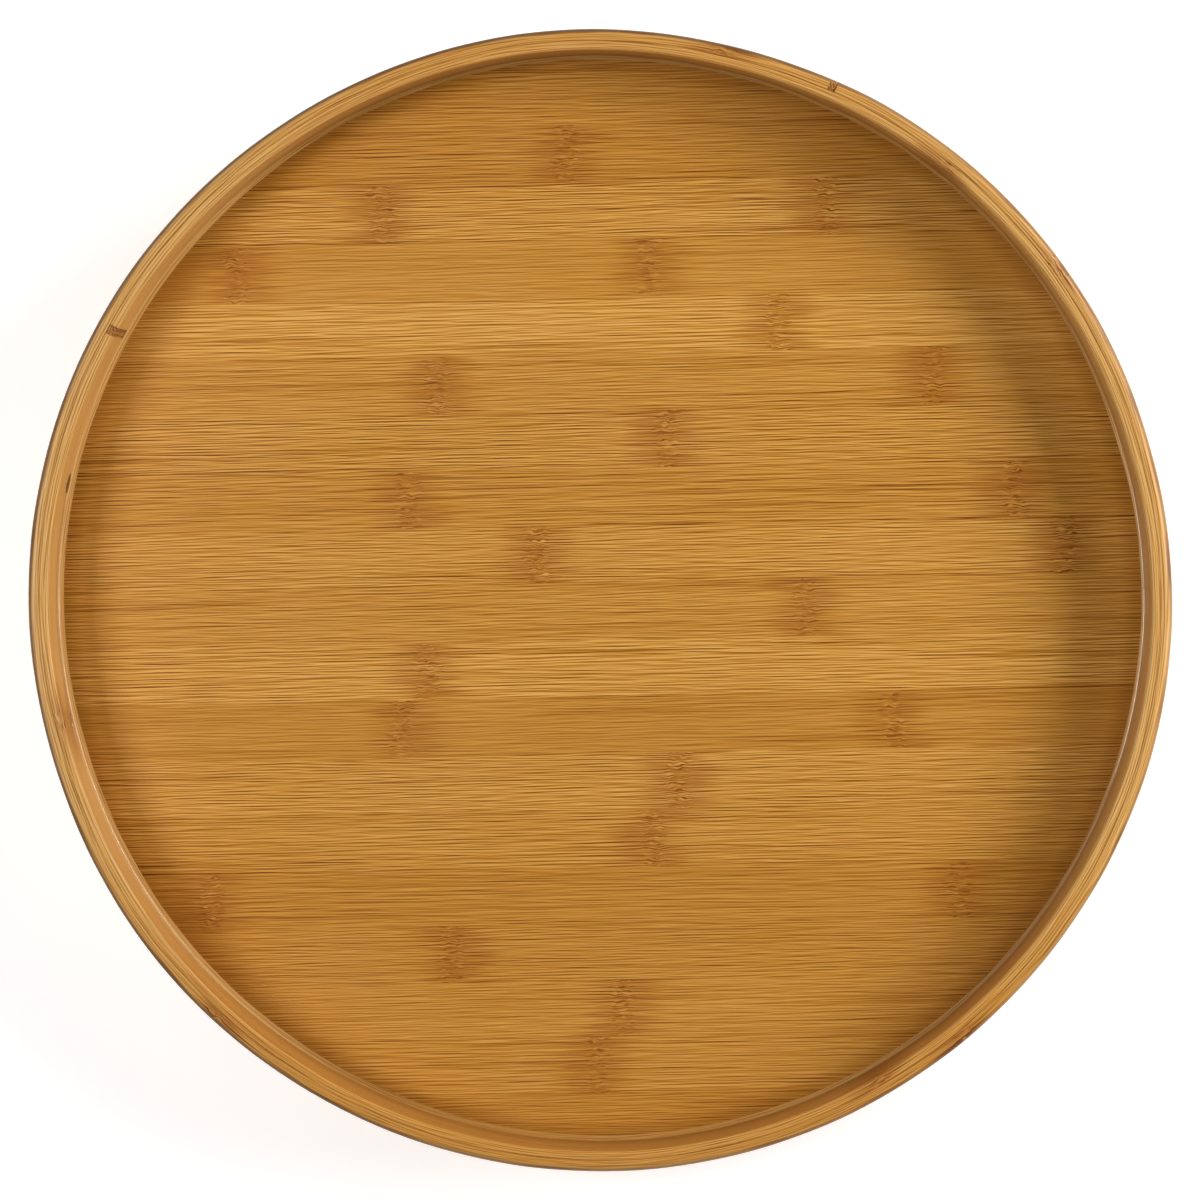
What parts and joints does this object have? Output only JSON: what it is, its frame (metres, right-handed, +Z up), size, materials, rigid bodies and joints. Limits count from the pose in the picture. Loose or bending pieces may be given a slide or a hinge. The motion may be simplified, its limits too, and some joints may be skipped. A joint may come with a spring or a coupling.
{
  "type": "lazy susan turntable",
  "caption": "Round rimmed bamboo tray on a ball-bearing swivel base with rubber feet, which turns freely to bring what stands on it within reach.",
  "frame": {"origin": "on the surface the turntable stands on, under the spin axis", "axes": "+Z up along the spin axis; +X along the deck's bamboo strips, at the rest pose"},
  "size_m": [0.4, 0.4, 0.054],
  "materials": {
    "deck_bamboo": "satin clear lacquer on edge-glued bamboo strips",
    "rim_bamboo": "satin clear lacquer on bent bamboo plies",
    "base_bamboo": "satin clear lacquer on edge-glued bamboo strips",
    "galvanised_plate": "zinc-plated pressed steel",
    "ball_steel": "polished, lightly greased",
    "zinc_fastener": "zinc-plated",
    "foot_rubber": "matte moulded"
  },
  "bodies": {
    "base": {"base_screws": "zinc_fastener", "base_strip_01": "base_bamboo", "base_strip_02": "base_bamboo", "base_strip_03": "base_bamboo", "base_strip_04": "base_bamboo", "base_strip_05": "base_bamboo", "base_strip_06": "base_bamboo", "base_strip_07": "base_bamboo", "base_strip_08": "base_bamboo", "base_strip_09": "base_bamboo", "base_strip_10": "base_bamboo", "base_strip_11": "base_bamboo", "foot_front_left": "foot_rubber", "foot_front_right": "foot_rubber", "foot_rear_left": "foot_rubber", "foot_rear_right": "foot_rubber", "foot_screws": "zinc_fastener", "foot_washers": "zinc_fastener", "lower_race_plate": "galvanised_plate"},
    "ball_train": {"bearing_balls": "ball_steel"},
    "turntable": {"deck_screws": "zinc_fastener", "deck_strip_01": "deck_bamboo", "deck_strip_02": "deck_bamboo", "deck_strip_03": "deck_bamboo", "deck_strip_04": "deck_bamboo", "deck_strip_05": "deck_bamboo", "deck_strip_06": "deck_bamboo", "deck_strip_07": "deck_bamboo", "deck_strip_08": "deck_bamboo", "deck_strip_09": "deck_bamboo", "deck_strip_10": "deck_bamboo", "deck_strip_11": "deck_bamboo", "deck_strip_12": "deck_bamboo", "deck_strip_13": "deck_bamboo", "deck_strip_14": "deck_bamboo", "deck_strip_15": "deck_bamboo", "deck_strip_16": "deck_bamboo", "deck_strip_17": "deck_bamboo", "deck_strip_18": "deck_bamboo", "deck_strip_19": "deck_bamboo", "deck_strip_20": "deck_bamboo", "rim_inner_joint_key": "rim_bamboo", "rim_inner_ply": "rim_bamboo", "rim_outer_joint_key": "rim_bamboo", "rim_outer_ply": "rim_bamboo", "upper_race_plate": "galvanised_plate"}
  },
  "joints": [
    {"name": "spin", "type": "hinge", "parent": "base", "child": "turntable", "pos_m": [0, 0, 0.021], "axis": [0, 0, 1], "continuous": true},
    {"name": "ball_roll", "type": "hinge", "parent": "base", "child": "ball_train", "pos_m": [0, 0, 0.017], "axis": [0, 0, 1], "continuous": true}
  ],
  "couplings": [
    {"joint": "ball_roll", "follows": "spin", "ratio": 0.5}
  ]
}
